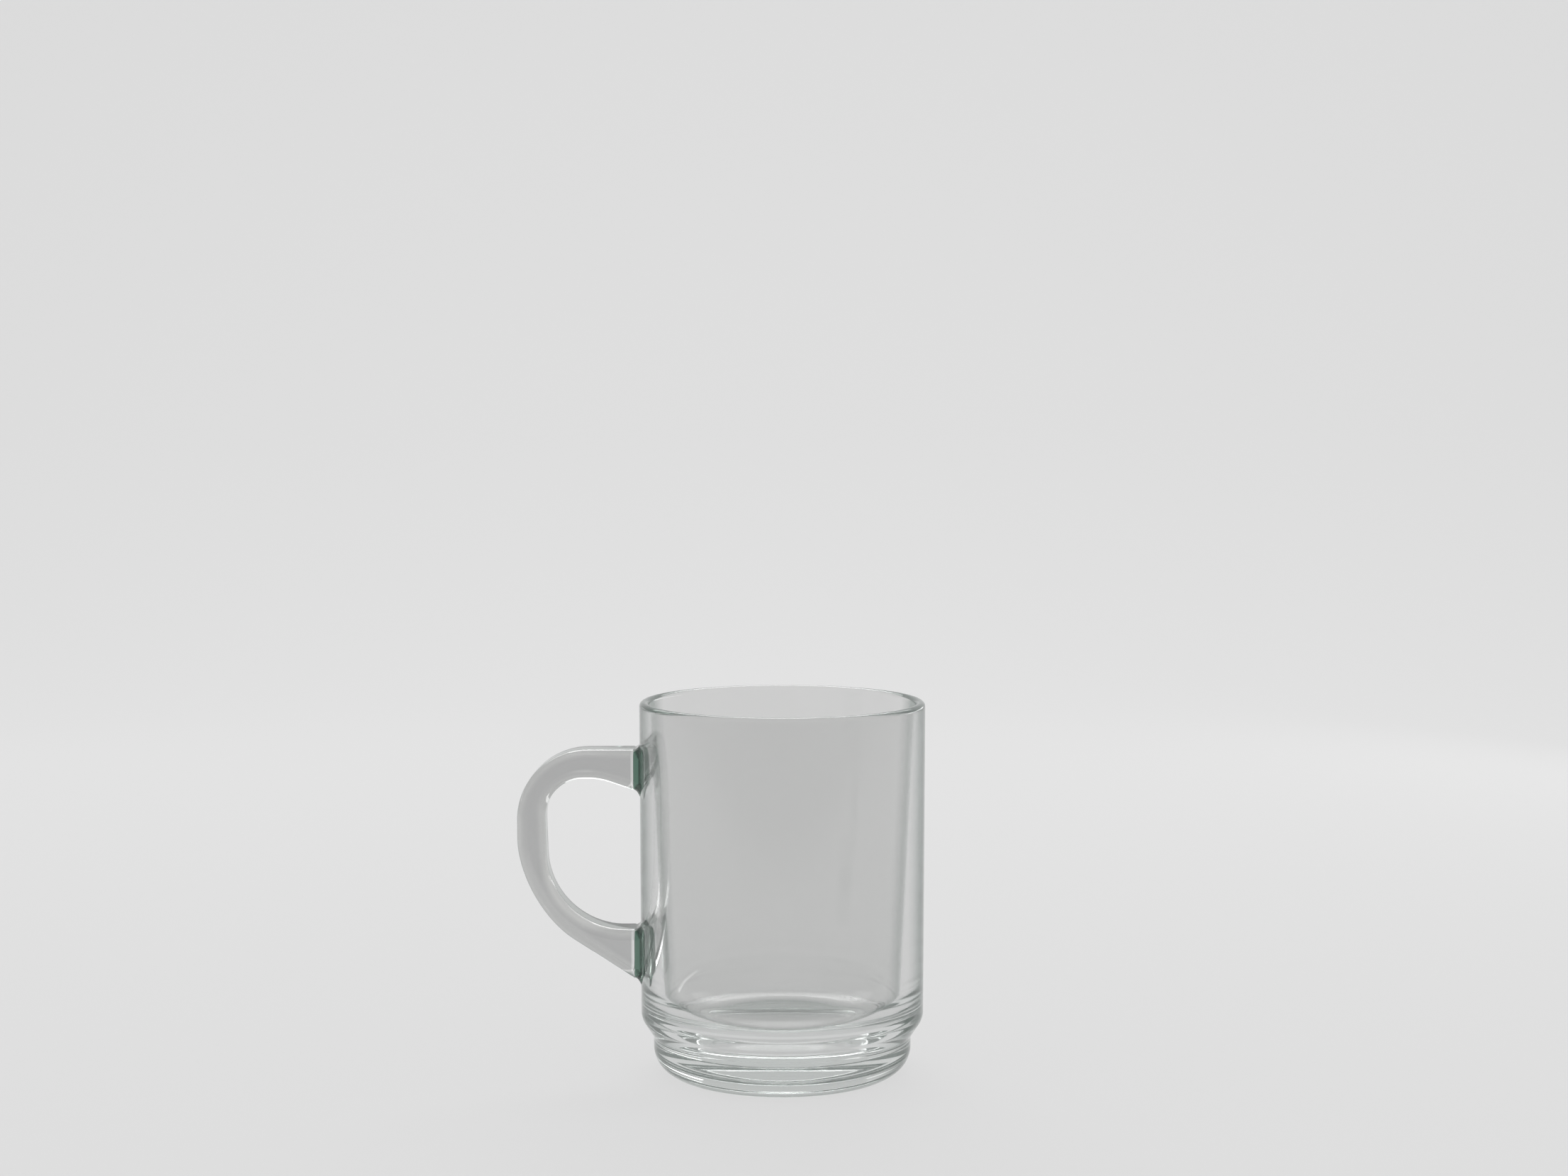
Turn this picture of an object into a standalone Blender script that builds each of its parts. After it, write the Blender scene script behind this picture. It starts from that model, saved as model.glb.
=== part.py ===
"""Clear glass tea glass with an ear handle fused to its wall.

Metres, +Z up. The glass stands on Z = 0 with its handle towards -X, and the
origin lies under the middle of the whole piece, handle included.
"""
import math

import bmesh
import bpy
import numpy as np
from mathutils import Matrix, Vector

# Tumbler, outside
HEIGHT = 0.0920
RIM_DIAMETER = 0.0702
WALL_BOTTOM_DIAMETER = 0.0697
SHOULDER_HEIGHT = 0.0139            # the wall's line carried down to the step over the foot
SHOULDER_RADIUS = 0.0040
FOOT_DIAMETER = 0.0636
FOOT_HEIGHT = 0.0093                # the foot's side carried up to the same step
FOOT_WAIST_RADIUS = 0.0030
FOOT_EDGE_RADIUS = 0.0066
REST_RING_INNER_DIAMETER = 0.0420
UNDERSIDE_RISE = 0.0015

# Tumbler, inside
LIP_THICKNESS = 0.0024
FLOOR_THICKNESS = 0.0120
CAVITY_FLOOR_DIAMETER = 0.0580      # the cavity's wall carried down to the floor
CAVITY_CORNER_RADIUS = 0.0110

# Handle, seen from the side
RIM_TO_HANDLE = 0.0116              # rim down to the top of the upper arm
ARM_THICKNESS = 0.0073
UPPER_END_HEIGHT = 0.0101
UPPER_END_FLARE_LENGTH = 0.0084
UPPER_END_FLARE_RADIUS = 0.0140
GRIP_GAP = 0.0233                   # room for the finger, wall to grip
GRIP_LEAN = 0.0011                  # the grip's inner side draws in by this much going down
GRIP_THICKNESS = 0.0067
BASE_TO_HANDLE = 0.0236             # table up to the lower arm's lowest point
LOWER_END_HEIGHT = 0.0123
LOWER_ARM_SLOPE = math.radians(32.6)
OUTER_TOP_RADIUS = 0.0175
OUTER_BOTTOM_RADIUS = 0.0300
INNER_TOP_RADIUS = 0.0095
INNER_BOTTOM_RADIUS = 0.0190

# Handle, across
GRIP_WIDTH = 0.0100
END_WIDTH = 0.0112
BAR_EDGE_RADIUS = 0.0026

# Fused joints between the handle and the wall
WELD_LENGTH = 0.0013                # wall out to the handle's end faces
WELD_FLARE_ABOVE = 0.0019
WELD_FLARE_BELOW = 0.0026
WELD_FLARE_SIDE = 0.0018
FUSED_GAP = 0.0003                  # left between pieces that are fused in the real glass

# Fineness of the round forms
TURN_STEPS = 72
ARC_STEP = math.radians(12.0)
UNDERSIDE_STEPS = 4
BAR_STATIONS = 44
BAR_EDGE_STEPS = 4
WELD_FLARE_STEPS = 6
WELD_BACK_SHARES = (0.70, 0.35)
SMOOTH_UP_TO = math.radians(35.0)

# Finish
GLASS_COLOUR = (0.88, 0.94, 0.91, 1.0)
WELD_COLOUR = (0.80, 0.90, 0.85, 1.0)
GLASS_ROUGHNESS = 0.02
GLASS_INDEX = 1.52

RIM_RADIUS = RIM_DIAMETER / 2
WIDEST_RADIUS = max(RIM_DIAMETER, WALL_BOTTOM_DIAMETER) / 2
HANDLE_REACH = RIM_RADIUS + GRIP_GAP + GRIP_THICKNESS
AXIS_X = (HANDLE_REACH - WIDEST_RADIUS) / 2
ARM_TOP = HEIGHT - RIM_TO_HANDLE
UPPER_END_BOTTOM = ARM_TOP - UPPER_END_HEIGHT
LOWER_END_TOP = BASE_TO_HANDLE + LOWER_END_HEIGHT


def remove_everything():
    for thing in list(bpy.data.objects):
        bpy.data.objects.remove(thing, do_unlink=True)


def clear_glass(name, colour):
    material = bpy.data.materials.new(name)
    material.use_nodes = True
    shader = material.node_tree.nodes["Principled BSDF"]
    shader.inputs["Base Color"].default_value = colour
    shader.inputs["Metallic"].default_value = 0.0
    shader.inputs["Roughness"].default_value = GLASS_ROUGHNESS
    shader.inputs["IOR"].default_value = GLASS_INDEX
    shader.inputs["Transmission Weight"].default_value = 1.0
    return material


def round_corners(corners):
    """Return the path through (u, v, radius) corners, with an arc at each inner one."""
    points = [Vector((u, v)) for u, v, radius in corners]
    sides = [(after - before).length for before, after in zip(points, points[1:])]
    turns = [0.0] * len(points)
    reaches = [0.0] * len(points)
    for index in range(1, len(points) - 1):
        incoming = points[index] - points[index - 1]
        outgoing = points[index + 1] - points[index]
        turns[index] = incoming.angle_signed(outgoing)
        reaches[index] = corners[index][2] * math.tan(abs(turns[index]) / 2)

    path = [points[0]]
    for index in range(1, len(points) - 1):
        if reaches[index] == 0.0:
            path.append(points[index])
            continue
        # Two arcs on one short side share its length.
        share = min(1.0,
                    sides[index - 1] / (reaches[index - 1] + reaches[index]),
                    sides[index] / (reaches[index] + reaches[index + 1]))
        reach = reaches[index] * share
        back = (points[index - 1] - points[index]).normalized()
        ahead = (points[index + 1] - points[index]).normalized()
        start = points[index] + back * reach
        centre = points[index] + (back + ahead) * reach / (1.0 + back.dot(ahead))
        steps = max(1, math.ceil(abs(turns[index]) / ARC_STEP))
        for step in range(steps + 1):
            swing = Matrix.Rotation(-turns[index] * step / steps, 2)
            path.append(centre + swing @ (start - centre))
    path.append(points[-1])
    return path


def spread_along(path, count):
    """Return points at even distances along a path."""
    runs = [(after - before).length for before, after in zip(path, path[1:])]
    travelled = np.concatenate(([0.0], np.cumsum(runs)))
    stops = np.linspace(0.0, travelled[-1], count)
    across = np.interp(stops, travelled, [point.x for point in path])
    upward = np.interp(stops, travelled, [point.y for point in path])
    return [Vector(pair) for pair in zip(across, upward)]


def wall_radius(height):
    """Outer radius of the straight wall, which opens slightly towards the rim."""
    climb = (height - SHOULDER_HEIGHT) / (HEIGHT - SHOULDER_HEIGHT)
    bottom_radius = WALL_BOTTOM_DIAMETER / 2
    return bottom_radius + (RIM_RADIUS - bottom_radius) * climb


def handle_end(top, bottom):
    """Distance from the axis to the handle's end face between two heights."""
    return wall_radius((top + bottom) / 2) + WELD_LENGTH


def body_profile():
    """Half section of the tumbler, from the underside's middle round to the cavity floor."""
    ring_inner_radius = REST_RING_INNER_DIAMETER / 2
    profile = []
    for step in range(UNDERSIDE_STEPS):
        share = step / UNDERSIDE_STEPS
        profile.append(Vector((ring_inner_radius * share, UNDERSIDE_RISE * (1.0 - share ** 2))))
    profile += round_corners([
        (ring_inner_radius, 0.0, 0.0),
        (FOOT_DIAMETER / 2, 0.0, FOOT_EDGE_RADIUS),
        (FOOT_DIAMETER / 2, FOOT_HEIGHT, FOOT_WAIST_RADIUS),
        (WALL_BOTTOM_DIAMETER / 2, SHOULDER_HEIGHT, SHOULDER_RADIUS),
        (RIM_RADIUS, HEIGHT, LIP_THICKNESS / 2),
        (RIM_RADIUS - LIP_THICKNESS, HEIGHT, LIP_THICKNESS / 2),
        (CAVITY_FLOOR_DIAMETER / 2, FLOOR_THICKNESS, CAVITY_CORNER_RADIUS),
        (0.0, FLOOR_THICKNESS, 0.0),
    ])
    return profile


def turned(profile):
    """Turn a half section round the Z axis into a closed body."""
    shape = bmesh.new()
    points = [shape.verts.new((point.x, 0.0, point.y)) for point in profile]
    for before, after in zip(points, points[1:]):
        shape.edges.new((before, after))
    bmesh.ops.spin(shape, geom=shape.verts[:] + shape.edges[:], cent=(0.0, 0.0, 0.0),
                   axis=(0.0, 0.0, 1.0), angle=2 * math.pi, steps=TURN_STEPS, use_merge=True)
    bmesh.ops.remove_doubles(shape, verts=shape.verts, dist=1e-6)
    bmesh.ops.recalc_face_normals(shape, faces=shape.faces)
    return shape


def lofted(rings):
    """Skin a row of closed rings and close both ends."""
    shape = bmesh.new()
    loops = []
    for ring in rings:
        points = [shape.verts.new(point) for point in ring]
        loops.append([shape.edges.new(pair) for pair in zip(points, points[1:] + points[:1])])
    for first, second in zip(loops, loops[1:]):
        bmesh.ops.bridge_loops(shape, edges=first + second)
    for end in (loops[0], loops[-1]):
        bmesh.ops.edgeloop_fill(shape, edges=end)
    bmesh.ops.recalc_face_normals(shape, faces=shape.faces)
    return shape


def bar_section(outer, inner, width):
    """Rounded rectangle between two points of the handle's contours, in world axes."""
    middle = (outer + inner) / 2
    rise = (outer - inner).normalized()
    half_rise = (outer - inner).length / 2
    half_width = width / 2
    edge = min(BAR_EDGE_RADIUS, half_rise, half_width)
    ring = []
    for quarter in range(4):
        centre_angle = math.pi / 4 + quarter * math.pi / 2
        rise_centre = math.copysign(half_rise - edge, math.cos(centre_angle))
        width_centre = math.copysign(half_width - edge, math.sin(centre_angle))
        for step in range(BAR_EDGE_STEPS + 1):
            angle = (quarter + step / BAR_EDGE_STEPS) * math.pi / 2
            point = middle + rise * (rise_centre + edge * math.cos(angle))
            ring.append(Vector((-point.x, width_centre + edge * math.sin(angle), point.y)))
    return ring


def handle_contours():
    """Outer and inner side outlines of the handle, as (distance from the axis, height)."""
    arm_underside = ARM_TOP - ARM_THICKNESS
    grip_inner = RIM_RADIUS + GRIP_GAP
    upper_end = handle_end(ARM_TOP, UPPER_END_BOTTOM)
    lower_end = handle_end(LOWER_END_TOP, BASE_TO_HANDLE)
    lower_corner = BASE_TO_HANDLE + (HANDLE_REACH - lower_end) * math.tan(LOWER_ARM_SLOPE)
    outer = round_corners([
        (upper_end, ARM_TOP, 0.0),
        (HANDLE_REACH, ARM_TOP, OUTER_TOP_RADIUS),
        (HANDLE_REACH, lower_corner, OUTER_BOTTOM_RADIUS),
        (lower_end, BASE_TO_HANDLE, 0.0),
    ])
    inner = round_corners([
        (upper_end, UPPER_END_BOTTOM, 0.0),
        (upper_end + UPPER_END_FLARE_LENGTH, arm_underside, UPPER_END_FLARE_RADIUS),
        (grip_inner, arm_underside, INNER_TOP_RADIUS),
        (grip_inner - GRIP_LEAN, LOWER_END_TOP, INNER_BOTTOM_RADIUS),
        (lower_end, LOWER_END_TOP, 0.0),
    ])
    return spread_along(outer, BAR_STATIONS), spread_along(inner, BAR_STATIONS)


def handle_rings():
    """Cross-sections of the bar, widest at its two ends."""
    rings = []
    outer, inner = handle_contours()
    for station, (outer_point, inner_point) in enumerate(zip(outer, inner)):
        nearness_to_end = (2 * station / (BAR_STATIONS - 1) - 1) ** 2
        width = GRIP_WIDTH + (END_WIDTH - GRIP_WIDTH) * nearness_to_end
        rings.append(bar_section(outer_point, inner_point, width))
    return rings


def against_wall(y, height):
    """X of the fused face that follows the wall's round, clear of it by the gap."""
    return -math.sqrt((wall_radius(height) + FUSED_GAP) ** 2 - y ** 2)


def weld_rings(top, bottom):
    """Collar that flares from the handle's end to the wall, then its face on the wall."""
    front = -handle_end(top, bottom) + FUSED_GAP
    rings = []
    for step in range(WELD_FLARE_STEPS + 1):
        angle = math.pi / 2 * step / WELD_FLARE_STEPS
        growth = 1.0 - math.cos(angle)
        section = bar_section(Vector((0.0, top + WELD_FLARE_ABOVE * growth)),
                              Vector((0.0, bottom - WELD_FLARE_BELOW * growth)),
                              END_WIDTH + 2 * WELD_FLARE_SIDE * growth)
        for point in section:
            point.x = front + (against_wall(point.y, point.z) - front) * math.sin(angle)
        rings.append(section)

    middle_height = (top + WELD_FLARE_ABOVE + bottom - WELD_FLARE_BELOW) / 2
    for share in WELD_BACK_SHARES:
        ring = []
        for point in rings[WELD_FLARE_STEPS]:
            y = point.y * share
            height = middle_height + (point.z - middle_height) * share
            ring.append(Vector((against_wall(y, height), y, height)))
        rings.append(ring)
    return rings


def add_piece(name, shape, colour, parent):
    mesh = bpy.data.meshes.new(name)
    shape.to_mesh(mesh)
    shape.free()
    mesh.shade_smooth()
    mesh.set_sharp_from_angle(angle=SMOOTH_UP_TO)
    mesh.materials.append(clear_glass(name, colour))
    piece = bpy.data.objects.new(name, mesh)
    piece.parent = parent
    bpy.context.scene.collection.objects.link(piece)
    return piece


def build():
    remove_everything()
    axis = bpy.data.objects.new("glass_axis", None)
    axis.location.x = AXIS_X
    bpy.context.scene.collection.objects.link(axis)

    add_piece("glass_body", turned(body_profile()), GLASS_COLOUR, axis)
    add_piece("handle", lofted(handle_rings()), GLASS_COLOUR, axis)
    upper_weld = weld_rings(ARM_TOP, UPPER_END_BOTTOM)
    add_piece("upper_weld", lofted(upper_weld), WELD_COLOUR, axis)
    lower_weld = weld_rings(LOWER_END_TOP, BASE_TO_HANDLE)
    add_piece("lower_weld", lofted(lower_weld), WELD_COLOUR, axis)
    bpy.context.view_layer.update()


build()
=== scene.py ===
import math

import bmesh
import bpy
import numpy as np
from mathutils import Matrix, Vector


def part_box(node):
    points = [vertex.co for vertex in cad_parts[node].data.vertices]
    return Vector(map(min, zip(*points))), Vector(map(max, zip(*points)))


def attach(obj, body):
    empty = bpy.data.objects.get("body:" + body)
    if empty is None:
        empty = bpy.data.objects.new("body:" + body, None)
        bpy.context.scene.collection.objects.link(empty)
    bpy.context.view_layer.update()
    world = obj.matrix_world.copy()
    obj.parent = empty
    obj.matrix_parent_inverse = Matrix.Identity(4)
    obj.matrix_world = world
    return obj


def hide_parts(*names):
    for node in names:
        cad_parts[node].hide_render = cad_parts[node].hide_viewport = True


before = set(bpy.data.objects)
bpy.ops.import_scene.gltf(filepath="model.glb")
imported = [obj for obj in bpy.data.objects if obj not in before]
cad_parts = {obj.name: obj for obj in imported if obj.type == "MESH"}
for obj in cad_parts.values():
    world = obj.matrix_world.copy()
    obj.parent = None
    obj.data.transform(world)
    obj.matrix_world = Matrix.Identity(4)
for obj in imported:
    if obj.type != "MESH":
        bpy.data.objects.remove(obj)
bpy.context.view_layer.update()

# A pressed tea glass with an ear handle fused to its wall, in clear glass.
# Metres, +Z up, with the handle towards -X. Sizes that the solids give are read from them.
body_low, body_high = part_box("glass_body")
handle_low, handle_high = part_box("handle")
AXIS_X = (body_low.x + body_high.x) / 2
HEIGHT = body_high.z
RIM_RADIUS = (body_high.y - body_low.y) / 2
HANDLE_REACH = AXIS_X - handle_low.x
HANDLE_TOP = handle_high.z
HANDLE_BOTTOM = handle_low.z
END_WIDTH = handle_high.y - handle_low.y

# Tumbler
WALL_BOTTOM_RADIUS = 0.03485
SHOULDER_HEIGHT = 0.0139
SHOULDER_ROUNDING = 0.0040
FOOT_RADIUS = 0.0318
FOOT_HEIGHT = 0.0093
FOOT_WAIST_ROUNDING = 0.0030
FOOT_EDGE_ROUNDING = 0.0066
REST_RING_RADIUS = 0.0210
REST_RING_ROUNDING = 0.0020
UNDERSIDE_RISE = 0.0015
UNDERSIDE_ROUNDING = 0.1350
LIP_THICKNESS = 0.0024
FLOOR_THICKNESS = 0.0120
CAVITY_FLOOR_RADIUS = 0.0290
CAVITY_CORNER_ROUNDING = 0.0110

# Handle
ARM_THICKNESS = 0.0073
UPPER_END_HEIGHT = 0.0101
UPPER_END_FLARE_LENGTH = 0.0084
UPPER_END_FLARE_ROUNDING = 0.0140
GRIP_GAP = 0.0233
GRIP_LEAN = 0.0011
LOWER_END_HEIGHT = 0.0123
LOWER_ARM_SLOPE = math.radians(32.6)
OUTER_TOP_ROUNDING = 0.0175
OUTER_BOTTOM_ROUNDING = 0.0300
INNER_TOP_ROUNDING = 0.0095
INNER_BOTTOM_ROUNDING = 0.0190
GRIP_WIDTH = 0.0100
BAR_EDGE_ROUNDING = 0.0026
BAR_END_ROUNDING = 0.0002
UPPER_END_BOTTOM = HANDLE_TOP - UPPER_END_HEIGHT
LOWER_END_TOP = HANDLE_BOTTOM + LOWER_END_HEIGHT

# Fused collars
COLLAR_LENGTH = 0.0013
COLLAR_FLARE_ABOVE = 0.0019
COLLAR_FLARE_BELOW = 0.0026
COLLAR_FLARE_SIDE = 0.0004
COLLAR_HOLLOW = 2.0                 # over 1 draws the flare in, as a fillet
COLLAR_INSET = 0.00015              # keeps the collar's neck inside the bar's end
FUSED_DEPTH = 0.0003                # how far the collars run into the wall
NECK_DEPTH = 0.00005                # and into the bar

# Fineness
TURN_STEPS = 240
ROUNDING_STEP = math.radians(3.5)
LONGEST_STRAIGHT = 0.003
BAR_STATIONS = 140
SECTION_CORNER_SEGMENTS = 10
BAR_END_SEGMENTS = 3
COLLAR_FLARE_STEPS = 14
COLLAR_BACK_SHARES = (0.80, 0.60, 0.40, 0.20)
MERGE_DISTANCE = 1e-6
SMOOTH_UP_TO = math.radians(40.0)

# Glass
GLASS_INDEX = 1.52
WHITE = (1.0, 1.0, 1.0, 1.0)
# painted shade: a grey tint over the whole glass, which is clear, standing for darker surroundings
# seen through it
BODY_PAINTED_SHADE = (0.835, 0.835, 0.833, 1.0)
FUSED_COLOUR = (0.97, 0.98, 0.97, 1.0)
# painted shade on the bar's flat sides and a lighter painted sheen on its rounded edges
BAR_SIDE_PAINTED_SHADE = (0.56, 0.56, 0.56, 1.0)
BAR_ROUND_PAINTED_SHEEN = (0.74, 0.74, 0.73, 1.0)
BAR_SIDE_FACING = 1.0               # sideways part of the normal on the bar's flat sides
BAR_ROUND_FACING = 0.80             # and where its rounded edges have their full colour
END_HIGHLIGHT_LENGTH = 0.0007           # painted highlight: the bar turns white just before its collars
END_HIGHLIGHT_BLEND = 0.0002
SLANT_PAINTED_SHADE = (0.33, 0.37, 0.35, 1.0)   # painted shade where the glass is seen at a slant
SLANT_START = 0.55
SLANT_FULL = 0.74
GLASS_DEPTH_COLOUR = (0.28, 0.40, 0.35, 1.0)
GLASS_DEPTH_DENSITY = 5.0
# the collars' green is the glass's own tint, made far darker by this strong absorption as painted
# shade
FUSED_GREEN_AND_SHADE = (0.04, 0.30, 0.19, 1.0)
FUSED_SHADE_DENSITY = 195.0
WAVES_PER_METRE = 38.0              # broad unevenness that the mould leaves
WAVE_STRETCH = (1.0, 1.0, 0.55)
WAVE_DETAIL = 2.0
WAVE_DEPTH = 0.000012
BLOOM_PER_METRE = 260.0             # fine unevenness of the polish
BLOOM_DETAIL = 4.0
BLOOM_LOW = 0.35
BLOOM_HIGH = 0.75
SMOOTHEST = 0.03
ROUGHEST = 0.07

# Studio
PALE = (0.80, 0.80, 0.80, 1.0)
DIM_LEVEL = 0.30                    # painted shade: the sheet's glow dims outside the picture, to its sides and front
FADE_START = 0.18
FADE_END = 0.45
FADE_SIDEWAYS = 2.0                 # it dims this many times farther out to the sides than in front
FADE_WIDENING = 1.6                 # and farther still with each metre behind the glass
PALE_SHARE = 0.80                   # the rest of the sheet's look is lit paper, with its shadow
FLOOR_HALF_SIZE = 3.0
BACKDROP_DISTANCE = 1.2
BACKDROP_HEIGHT = 3.0
BACKDROP_BEND = 0.5
BACKDROP_BEND_SEGMENTS = 24
ROOM_LEVEL = 0.32
CEILING_LEVEL = 0.42
CEILING_START = 0.10                # upward part of a direction where the room starts to lighten
CEILING_FULL = 0.75
GLASS_BOUNCES = 96                  # light is passed on this often inside the thick glass
SOFT_PANELS = {                     # place, width and height, and brightness where white is 1
    "high_back_panel": ((0.0, 0.85, 0.95), (0.90, 0.40), 3.00),
    "low_back_panel": ((0.0, 0.66, 0.60), (1.20, 0.25), 1.40),
    "left_strip": ((-0.52, 0.40, 0.13), (0.60, 0.05), 0.60),
    "right_strip": ((0.52, 0.40, 0.13), (0.60, 0.05), 3.50),
}

# Camera
CAMERA_LENS_MM = 59.4
CAMERA_SENSOR_MM = 36.0
CAMERA_ASIDE = 0.00043
CAMERA_DISTANCE = 0.6314
CAMERA_HEIGHT = 0.1678
CAMERA_TILT = 0.0760
CAMERA_NEAREST = 0.01


def rounded_wire(corners):
    """Wire in the XZ plane through (across, up, rounding) corners, each rounded by a bevel.

    Returns the wire and its first point.
    """
    wire = bmesh.new()
    points = [wire.verts.new((across, 0.0, up)) for across, up, rounding in corners]
    for before, after in zip(points, points[1:]):
        wire.edges.new((before, after))
    for point, (across, up, rounding) in list(zip(points, corners))[1:-1]:
        back, ahead = [edge.other_vert(point).co - point.co for edge in point.link_edges]
        turn = math.pi - back.angle(ahead)
        bmesh.ops.bevel(wire, geom=[point], offset=rounding * math.tan(turn / 2),
                        offset_type="ABSOLUTE", affect="VERTICES", clamp_overlap=False,
                        segments=max(2, math.ceil(turn / ROUNDING_STEP)), profile=0.5, material=-1)
    return wire, points[0]


def stops_along(wire, start, count):
    """Points at even distances along a wire, from its first point."""
    path = [start]
    edge = start.link_edges[0]
    while edge:
        path.append(edge.other_vert(path[-1]))
        onward = [other for other in path[-1].link_edges if other is not edge]
        edge = onward[0] if onward else None
    places = np.array([point.co for point in path])
    lengths = np.linalg.norm(np.diff(places, axis=0), axis=1)
    travelled = np.concatenate(([0.0], np.cumsum(lengths)))
    stops = np.linspace(0.0, travelled[-1], count)
    return np.column_stack([np.interp(stops, travelled, places[:, axis]) for axis in range(3)])


def add_piece(name, shape, material):
    """Make a finished piece of the glass that stands for the solid of the same name."""
    bmesh.ops.translate(shape, verts=shape.verts, vec=(AXIS_X, 0.0, 0.0))
    mesh = bpy.data.meshes.new(name + "_glass")
    shape.to_mesh(mesh)
    shape.free()
    mesh.shade_smooth()
    mesh.set_sharp_from_angle(angle=SMOOTH_UP_TO)
    mesh.materials.append(material)
    piece = bpy.data.objects.new(name + "_glass", mesh)
    bpy.context.scene.collection.objects.link(piece)
    weighted = piece.modifiers.new("even_shading", "WEIGHTED_NORMAL")
    weighted.keep_sharp = True
    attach(piece, "root")
    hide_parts(name)
    return piece


def wall_radius(height):
    """Outer radius of the tumbler's wall, which opens slightly towards the rim."""
    climb = (height - SHOULDER_HEIGHT) / (HEIGHT - SHOULDER_HEIGHT)
    return WALL_BOTTOM_RADIUS + (RIM_RADIUS - WALL_BOTTOM_RADIUS) * climb


def end_distance(top, bottom):
    """Distance from the tumbler's axis to the bar's end between two heights."""
    return wall_radius((top + bottom) / 2) + COLLAR_LENGTH


def tumbler():
    """Turn the half section, from the underside's middle round the rim to the cavity's floor."""
    shape, _ = rounded_wire([
        (0.0, UNDERSIDE_RISE, 0.0),
        (REST_RING_RADIUS / 2, UNDERSIDE_RISE, UNDERSIDE_ROUNDING),
        (REST_RING_RADIUS, 0.0, REST_RING_ROUNDING),
        (FOOT_RADIUS, 0.0, FOOT_EDGE_ROUNDING),
        (FOOT_RADIUS, FOOT_HEIGHT, FOOT_WAIST_ROUNDING),
        (WALL_BOTTOM_RADIUS, SHOULDER_HEIGHT, SHOULDER_ROUNDING),
        (RIM_RADIUS, HEIGHT, LIP_THICKNESS / 2),
        (RIM_RADIUS - LIP_THICKNESS, HEIGHT, LIP_THICKNESS / 2),
        (CAVITY_FLOOR_RADIUS, FLOOR_THICKNESS, CAVITY_CORNER_ROUNDING),
        (0.0, FLOOR_THICKNESS, 0.0),
    ])
    for edge in shape.edges[:]:
        cuts = int(edge.calc_length() / LONGEST_STRAIGHT)
        if cuts:
            bmesh.ops.subdivide_edges(shape, edges=[edge], cuts=cuts)
    bmesh.ops.spin(shape, geom=shape.verts[:] + shape.edges[:], cent=(0.0, 0.0, 0.0),
                   axis=(0.0, 0.0, 1.0), angle=2 * math.pi, steps=TURN_STEPS, use_merge=True)
    bmesh.ops.remove_doubles(shape, verts=shape.verts, dist=MERGE_DISTANCE)
    bmesh.ops.recalc_face_normals(shape, faces=shape.faces)
    return shape


def handle_contours():
    """Even stops along the bar's outer and inner outlines, seen from the side."""
    underside = HANDLE_TOP - ARM_THICKNESS
    grip_inner = RIM_RADIUS + GRIP_GAP
    upper_end = end_distance(HANDLE_TOP, UPPER_END_BOTTOM)
    lower_end = end_distance(LOWER_END_TOP, HANDLE_BOTTOM)
    lower_corner = HANDLE_BOTTOM + (HANDLE_REACH - lower_end) * math.tan(LOWER_ARM_SLOPE)
    outlines = (
        [
            (-upper_end, HANDLE_TOP, 0.0),
            (-HANDLE_REACH, HANDLE_TOP, OUTER_TOP_ROUNDING),
            (-HANDLE_REACH, lower_corner, OUTER_BOTTOM_ROUNDING),
            (-lower_end, HANDLE_BOTTOM, 0.0),
        ],
        [
            (-upper_end, UPPER_END_BOTTOM, 0.0),
            (-upper_end - UPPER_END_FLARE_LENGTH, underside, UPPER_END_FLARE_ROUNDING),
            (-grip_inner, underside, INNER_TOP_ROUNDING),
            (-grip_inner + GRIP_LEAN, LOWER_END_TOP, INNER_BOTTOM_ROUNDING),
            (-lower_end, LOWER_END_TOP, 0.0),
        ],
    )
    contours = []
    for corners in outlines:
        wire, start = rounded_wire(corners)
        contours.append(stops_along(wire, start, BAR_STATIONS))
        wire.free()
    return contours


def rounded_section(shape, middle, rise, height, width, rounding):
    """Rounded rectangle standing across the bar, its height along the rise; returns its edges."""
    corners = bmesh.ops.create_grid(shape, x_segments=1, y_segments=1, size=0.5)["verts"]
    stand = (Matrix.Translation(middle)
             @ Matrix.Rotation(math.atan2(-rise.z, rise.x), 4, "Y")
             @ Matrix.Diagonal((height, width, 1.0, 1.0)))
    bmesh.ops.transform(shape, matrix=stand, verts=corners)
    rounded = bmesh.ops.bevel(shape, geom=corners, offset=rounding, offset_type="ABSOLUTE",
                              affect="VERTICES", segments=SECTION_CORNER_SEGMENTS, profile=0.5,
                              material=-1, clamp_overlap=False)
    return list({edge for point in rounded["verts"] for edge in point.link_edges})


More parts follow.
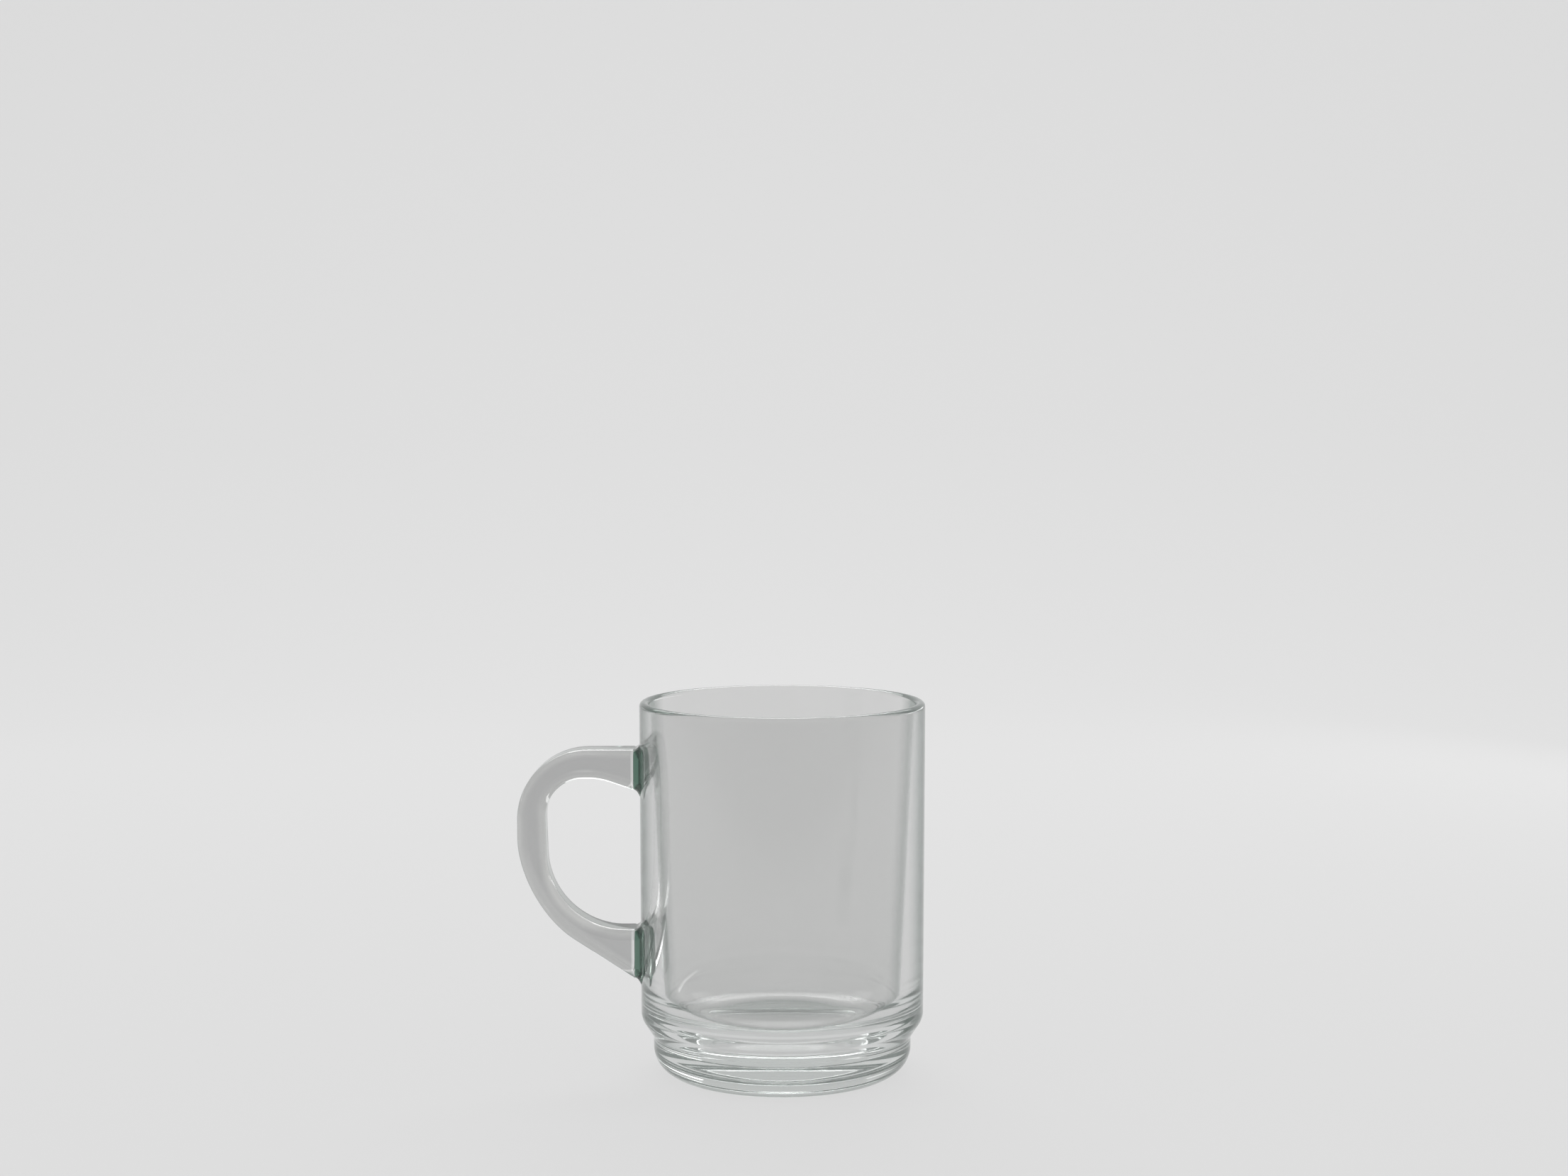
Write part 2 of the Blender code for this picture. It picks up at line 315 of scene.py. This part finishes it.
def handle_bar():
    """Bridge rounded sections from end to end of the bar, which is widest at its ends."""
    shape = bmesh.new()
    rings = []
    for station, (outer, inner) in enumerate(zip(*handle_contours())):
        nearness_to_end = (2 * station / (BAR_STATIONS - 1) - 1) ** 2
        width = GRIP_WIDTH + (END_WIDTH - GRIP_WIDTH) * nearness_to_end
        rise = Vector(outer - inner)
        rings.append(rounded_section(shape, Vector(outer + inner) / 2, rise, rise.length, width,
                                     BAR_EDGE_ROUNDING))
    inside = [ring[0].link_faces[0] for ring in rings[1:-1]]
    bmesh.ops.delete(shape, geom=inside, context="FACES_ONLY")
    for first, second in zip(rings, rings[1:]):
        bmesh.ops.bridge_loops(shape, edges=first + second)
    bmesh.ops.recalc_face_normals(shape, faces=shape.faces)
    bmesh.ops.bevel(shape, geom=rings[0] + rings[-1], offset=BAR_END_ROUNDING, offset_type="OFFSET",
                    affect="EDGES", segments=BAR_END_SEGMENTS, profile=0.5, material=-1,
                    clamp_overlap=False)
    bmesh.ops.recalc_face_normals(shape, faces=shape.faces)
    return shape


def against_wall(point):
    """X of a collar's point that lies just inside the wall's round."""
    return -math.sqrt((wall_radius(point.z) - FUSED_DEPTH) ** 2 - point.y ** 2)


def grown_ring(shape, ring, middle, new_middle, width_share, height_share):
    """Extrude a ring and resize the new one about the collar's middle height."""
    raised = bmesh.ops.extrude_edge_only(shape, edges=ring)["geom"]
    points = [item for item in raised if isinstance(item, bmesh.types.BMVert)]
    edges = [item for item in raised if isinstance(item, bmesh.types.BMEdge)]
    bmesh.ops.scale(shape, vec=(1.0, width_share, height_share), verts=points,
                    space=Matrix.Translation((0.0, 0.0, -middle)))
    bmesh.ops.translate(shape, verts=points, vec=(0.0, 0.0, new_middle - middle))
    return edges, points


def fused_collar(top, bottom):
    """Flare a rounded neck from the bar's end out to the wall, and close it along the wall."""
    shape = bmesh.new()
    front = -end_distance(top, bottom) - NECK_DEPTH
    neck_height = top - bottom - 2 * COLLAR_INSET
    neck_width = END_WIDTH - 2 * COLLAR_INSET
    ring = rounded_section(shape, Vector((front, 0.0, (top + bottom) / 2)), Vector((0.0, 0.0, 1.0)),
                           neck_height, neck_width, BAR_EDGE_ROUNDING - COLLAR_INSET)
    height = neck_height
    width = neck_width
    middle = (top + bottom) / 2
    for step in range(1, COLLAR_FLARE_STEPS + 1):
        share = step / COLLAR_FLARE_STEPS
        flare = share ** COLLAR_HOLLOW
        grown_height = neck_height + (COLLAR_FLARE_ABOVE + COLLAR_FLARE_BELOW) * flare
        grown_width = neck_width + 2 * COLLAR_FLARE_SIDE * share
        grown_middle = (top + bottom + (COLLAR_FLARE_ABOVE - COLLAR_FLARE_BELOW) * flare) / 2
        ring, points = grown_ring(shape, ring, middle, grown_middle,
                                  grown_width / width, grown_height / height)
        for point in points:
            point.co.x = front + (against_wall(point.co) - front) * share
        height = grown_height
        width = grown_width
        middle = grown_middle

    last_share = 1.0
    for share in COLLAR_BACK_SHARES:
        ring, points = grown_ring(shape, ring, middle, middle, share / last_share, share / last_share)
        for point in points:
            point.co.x = against_wall(point.co)
        last_share = share
    bmesh.ops.edgeloop_fill(shape, edges=ring)
    bmesh.ops.recalc_face_normals(shape, faces=shape.faces)
    return shape


def clear_glass(name, colour, depth_colour, depth_density):
    """Pressed glass: clear, with painted shade where it is seen at a slant, faint waves and a green
    depth.
    """
    material = bpy.data.materials.new(name)
    material.use_nodes = True
    nodes = material.node_tree.nodes
    links = material.node_tree.links
    shader = nodes["Principled BSDF"]
    # painted shade: the glass's colour darkens where its surface is seen at a slant
    slant = nodes.new("ShaderNodeLayerWeight")
    darkening = nodes.new("ShaderNodeMapRange")
    darkening.inputs["From Min"].default_value = SLANT_START
    darkening.inputs["From Max"].default_value = SLANT_FULL
    links.new(slant.outputs["Facing"], darkening.inputs["Value"])
    shaded_tint = nodes.new("ShaderNodeMix")
    shaded_tint.name = "shaded_tint"
    shaded_tint.data_type = "RGBA"
    shaded_tint.inputs["A"].default_value = colour
    shaded_tint.inputs["B"].default_value = SLANT_PAINTED_SHADE
    links.new(darkening.outputs["Result"], shaded_tint.inputs["Factor"])
    links.new(shaded_tint.outputs["Result"], shader.inputs["Base Color"])
    shader.inputs["IOR"].default_value = GLASS_INDEX
    shader.inputs["Transmission Weight"].default_value = 1.0
    place = nodes.new("ShaderNodeTexCoord")
    place.name = "place"
    stretch = nodes.new("ShaderNodeMapping")
    stretch.inputs["Scale"].default_value = WAVE_STRETCH
    links.new(place.outputs["Object"], stretch.inputs["Vector"])
    waves = nodes.new("ShaderNodeTexNoise")
    waves.inputs["Scale"].default_value = WAVES_PER_METRE
    waves.inputs["Detail"].default_value = WAVE_DETAIL
    links.new(stretch.outputs["Vector"], waves.inputs["Vector"])
    swell = nodes.new("ShaderNodeBump")
    swell.inputs["Strength"].default_value = 1.0
    swell.inputs["Distance"].default_value = WAVE_DEPTH
    links.new(waves.outputs["Fac"], swell.inputs["Height"])
    links.new(swell.outputs["Normal"], shader.inputs["Normal"])
    bloom = nodes.new("ShaderNodeTexNoise")
    bloom.inputs["Scale"].default_value = BLOOM_PER_METRE
    bloom.inputs["Detail"].default_value = BLOOM_DETAIL
    links.new(place.outputs["Object"], bloom.inputs["Vector"])
    polish = nodes.new("ShaderNodeMapRange")
    polish.inputs["From Min"].default_value = BLOOM_LOW
    polish.inputs["From Max"].default_value = BLOOM_HIGH
    polish.inputs["To Min"].default_value = SMOOTHEST
    polish.inputs["To Max"].default_value = ROUGHEST
    links.new(bloom.outputs["Fac"], polish.inputs["Value"])
    links.new(polish.outputs["Result"], shader.inputs["Roughness"])
    depth = nodes.new("ShaderNodeVolumeAbsorption")
    depth.inputs["Color"].default_value = depth_colour
    depth.inputs["Density"].default_value = depth_density
    links.new(depth.outputs["Volume"], nodes["Material Output"].inputs["Volume"])
    return material


def paint_bar_light(material):
    """Painted shade on the bar's flat sides, a lighter painted sheen on its rounded edges, and a
    white painted highlight across it just before its collars.
    """
    nodes = material.node_tree.nodes
    links = material.node_tree.links
    spot = nodes.new("ShaderNodeSeparateXYZ")
    links.new(nodes["place"].outputs["Object"], spot.inputs["Vector"])
    # painted highlight: a white band across the bar just before its collars
    highlight_from = AXIS_X - RIM_RADIUS - COLLAR_LENGTH - END_HIGHLIGHT_LENGTH
    nearness = nodes.new("ShaderNodeMapRange")
    nearness.inputs["From Min"].default_value = highlight_from
    nearness.inputs["From Max"].default_value = highlight_from + END_HIGHLIGHT_BLEND
    links.new(spot.outputs["X"], nearness.inputs["Value"])
    # painted shade on the flat sides and painted sheen on the rounded edges, chosen by the sideways
    # part of the normal
    surface = nodes.new("ShaderNodeNewGeometry")
    turned = nodes.new("ShaderNodeSeparateXYZ")
    links.new(surface.outputs["Normal"], turned.inputs["Vector"])
    sideways = nodes.new("ShaderNodeMath")
    sideways.operation = "ABSOLUTE"
    links.new(turned.outputs["Y"], sideways.inputs[0])
    roundness = nodes.new("ShaderNodeMapRange")
    roundness.inputs["From Min"].default_value = BAR_SIDE_FACING
    roundness.inputs["From Max"].default_value = BAR_ROUND_FACING
    links.new(sideways.outputs["Value"], roundness.inputs["Value"])
    sides = nodes.new("ShaderNodeMix")
    sides.data_type = "RGBA"
    sides.inputs["A"].default_value = BAR_SIDE_PAINTED_SHADE
    sides.inputs["B"].default_value = BAR_ROUND_PAINTED_SHEEN
    links.new(roundness.outputs["Result"], sides.inputs["Factor"])
    # the white of the painted highlight at the bar's ends
    ends = nodes.new("ShaderNodeMix")
    ends.data_type = "RGBA"
    links.new(sides.outputs["Result"], ends.inputs["A"])
    ends.inputs["B"].default_value = WHITE
    links.new(nearness.outputs["Result"], ends.inputs["Factor"])
    links.new(ends.outputs["Result"], nodes["shaded_tint"].inputs["A"])


def pale_paper():
    """Matt pale paper that keeps a soft shadow and shows alike in the picture and in the glass, with
    painted shade where its glow dims to its sides and front.
    """
    material = bpy.data.materials.new("pale_paper")
    material.use_nodes = True
    nodes = material.node_tree.nodes
    links = material.node_tree.links
    paper = nodes["Principled BSDF"]
    paper.inputs["Base Color"].default_value = PALE
    paper.inputs["Roughness"].default_value = 1.0
    paper.inputs["Specular IOR Level"].default_value = 0.0
    glow = nodes.new("ShaderNodeEmission")
    place = nodes.new("ShaderNodeTexCoord")
    spot = nodes.new("ShaderNodeSeparateXYZ")
    links.new(place.outputs["Object"], spot.inputs["Vector"])
    behind = nodes.new("ShaderNodeMath")
    behind.operation = "MAXIMUM"
    behind.inputs[1].default_value = 0.0
    links.new(spot.outputs["Y"], behind.inputs[0])
    widening = nodes.new("ShaderNodeMath")
    widening.operation = "MULTIPLY_ADD"
    widening.inputs[1].default_value = FADE_WIDENING
    widening.inputs[2].default_value = FADE_SIDEWAYS
    links.new(behind.outputs["Value"], widening.inputs[0])
    aside = nodes.new("ShaderNodeMath")
    aside.operation = "DIVIDE"
    links.new(spot.outputs["X"], aside.inputs[0])
    links.new(widening.outputs["Value"], aside.inputs[1])
    front = nodes.new("ShaderNodeMath")
    front.operation = "MINIMUM"
    front.inputs[1].default_value = 0.0
    links.new(spot.outputs["Y"], front.inputs[0])
    outward = nodes.new("ShaderNodeCombineXYZ")
    links.new(aside.outputs["Value"], outward.inputs["X"])
    links.new(front.outputs["Value"], outward.inputs["Y"])
    away = nodes.new("ShaderNodeVectorMath")
    away.operation = "LENGTH"
    links.new(outward.outputs["Vector"], away.inputs[0])
    # painted shade: the glow dims away from the glass, to the sides and front
    fade = nodes.new("ShaderNodeMapRange")
    fade.interpolation_type = "SMOOTHSTEP"
    fade.inputs["From Min"].default_value = FADE_START
    fade.inputs["From Max"].default_value = FADE_END
    fade.inputs["To Min"].default_value = PALE[0]
    fade.inputs["To Max"].default_value = DIM_LEVEL
    links.new(away.outputs["Value"], fade.inputs["Value"])
    links.new(fade.outputs["Result"], glow.inputs["Color"])
    path = nodes.new("ShaderNodeLightPath")
    seen = path.outputs["Is Camera Ray"]
    for kind in ("Is Glossy Ray", "Is Transmission Ray"):
        either = nodes.new("ShaderNodeMath")
        either.operation = "MAXIMUM"
        links.new(seen, either.inputs[0])
        links.new(path.outputs[kind], either.inputs[1])
        seen = either.outputs["Value"]
    share = nodes.new("ShaderNodeMath")
    share.operation = "MULTIPLY"
    share.inputs[1].default_value = PALE_SHARE
    links.new(seen, share.inputs[0])
    mix = nodes.new("ShaderNodeMixShader")
    links.new(share.outputs["Value"], mix.inputs["Fac"])
    links.new(paper.outputs["BSDF"], mix.inputs[1])
    links.new(glow.outputs["Emission"], mix.inputs[2])
    links.new(mix.outputs["Shader"], nodes["Material Output"].inputs["Surface"])
    return material


def paper_sweep():
    """One sheet: the floor, bent up behind the glass into the backdrop."""
    shape = bmesh.new()
    bmesh.ops.create_grid(shape, x_segments=1, y_segments=1, size=FLOOR_HALF_SIZE)
    for point in shape.verts:
        point.co.y = min(point.co.y, BACKDROP_DISTANCE)
    fold = [edge for edge in shape.edges
            if all(point.co.y > BACKDROP_DISTANCE - MERGE_DISTANCE for point in edge.verts)]
    raised = bmesh.ops.extrude_edge_only(shape, edges=fold)["geom"]
    top = [item for item in raised if isinstance(item, bmesh.types.BMVert)]
    bmesh.ops.translate(shape, verts=top, vec=(0.0, 0.0, BACKDROP_HEIGHT))
    bmesh.ops.bevel(shape, geom=fold, offset=BACKDROP_BEND, offset_type="OFFSET", affect="EDGES",
                    segments=BACKDROP_BEND_SEGMENTS, profile=0.5, material=-1, clamp_overlap=False)
    mesh = bpy.data.meshes.new("paper_sweep")
    shape.to_mesh(mesh)
    shape.free()
    mesh.shade_smooth()
    mesh.materials.append(pale_paper())
    sweep = bpy.data.objects.new("paper_sweep", mesh)
    bpy.context.scene.collection.objects.link(sweep)


def soft_panel(name, place, size, level):
    """Rectangular soft light aimed at the glass; level is its brightness where white is 1."""
    lamp = bpy.data.lights.new(name, "AREA")
    lamp.shape = "RECTANGLE"
    lamp.size, lamp.size_y = size
    lamp.energy = level * math.pi * size[0] * size[1]
    panel = bpy.data.objects.new(name, lamp)
    panel.location = place
    panel.visible_camera = False
    aim = Vector((AXIS_X, 0.0, HEIGHT / 2)) - panel.location
    panel.rotation_euler = aim.to_track_quat("-Z", "Y").to_euler()
    bpy.context.scene.collection.objects.link(panel)


def studio():
    """The sheet, the soft panels and a plain room that is a little lighter towards its ceiling."""
    paper_sweep()
    for name, (place, size, level) in SOFT_PANELS.items():
        soft_panel(name, place, size, level)
    world = bpy.data.worlds.new("studio")
    world.use_nodes = True
    nodes = world.node_tree.nodes
    links = world.node_tree.links
    way = nodes.new("ShaderNodeTexCoord")
    upward = nodes.new("ShaderNodeSeparateXYZ")
    links.new(way.outputs["Generated"], upward.inputs["Vector"])
    brightness = nodes.new("ShaderNodeMapRange")
    brightness.interpolation_type = "SMOOTHSTEP"
    brightness.inputs["From Min"].default_value = CEILING_START
    brightness.inputs["From Max"].default_value = CEILING_FULL
    brightness.inputs["To Min"].default_value = ROOM_LEVEL
    brightness.inputs["To Max"].default_value = CEILING_LEVEL
    links.new(upward.outputs["Z"], brightness.inputs["Value"])
    links.new(brightness.outputs["Result"], nodes["Background"].inputs["Strength"])
    nodes["Background"].inputs["Color"].default_value = WHITE
    scene = bpy.context.scene
    scene.world = world
    scene.view_settings.view_transform = "Standard"
    scene.cycles.max_bounces = GLASS_BOUNCES
    scene.cycles.transmission_bounces = GLASS_BOUNCES
    scene.cycles.glossy_bounces = GLASS_BOUNCES


def camera():
    """Camera in front of the glass and a little above it, as the photograph was taken."""
    lens = bpy.data.cameras.new("camera")
    lens.lens = CAMERA_LENS_MM
    lens.sensor_width = CAMERA_SENSOR_MM
    lens.clip_start = CAMERA_NEAREST
    stand = bpy.data.objects.new("camera", lens)
    stand.location = (AXIS_X + CAMERA_ASIDE, -CAMERA_DISTANCE, CAMERA_HEIGHT)
    stand.rotation_euler = (math.pi / 2 - CAMERA_TILT, 0.0, 0.0)
    bpy.context.scene.collection.objects.link(stand)
    bpy.context.scene.camera = stand


clear = clear_glass("clear_glass", BODY_PAINTED_SHADE, GLASS_DEPTH_COLOUR, GLASS_DEPTH_DENSITY)
bar = clear_glass("bar_glass", BAR_SIDE_PAINTED_SHADE, GLASS_DEPTH_COLOUR, GLASS_DEPTH_DENSITY)
paint_bar_light(bar)
fused = clear_glass("fused_glass", FUSED_COLOUR, FUSED_GREEN_AND_SHADE, FUSED_SHADE_DENSITY)
add_piece("glass_body", tumbler(), clear)
add_piece("handle", handle_bar(), bar)
add_piece("upper_weld", fused_collar(HANDLE_TOP, UPPER_END_BOTTOM), fused)
add_piece("lower_weld", fused_collar(LOWER_END_TOP, HANDLE_BOTTOM), fused)
studio()
camera()
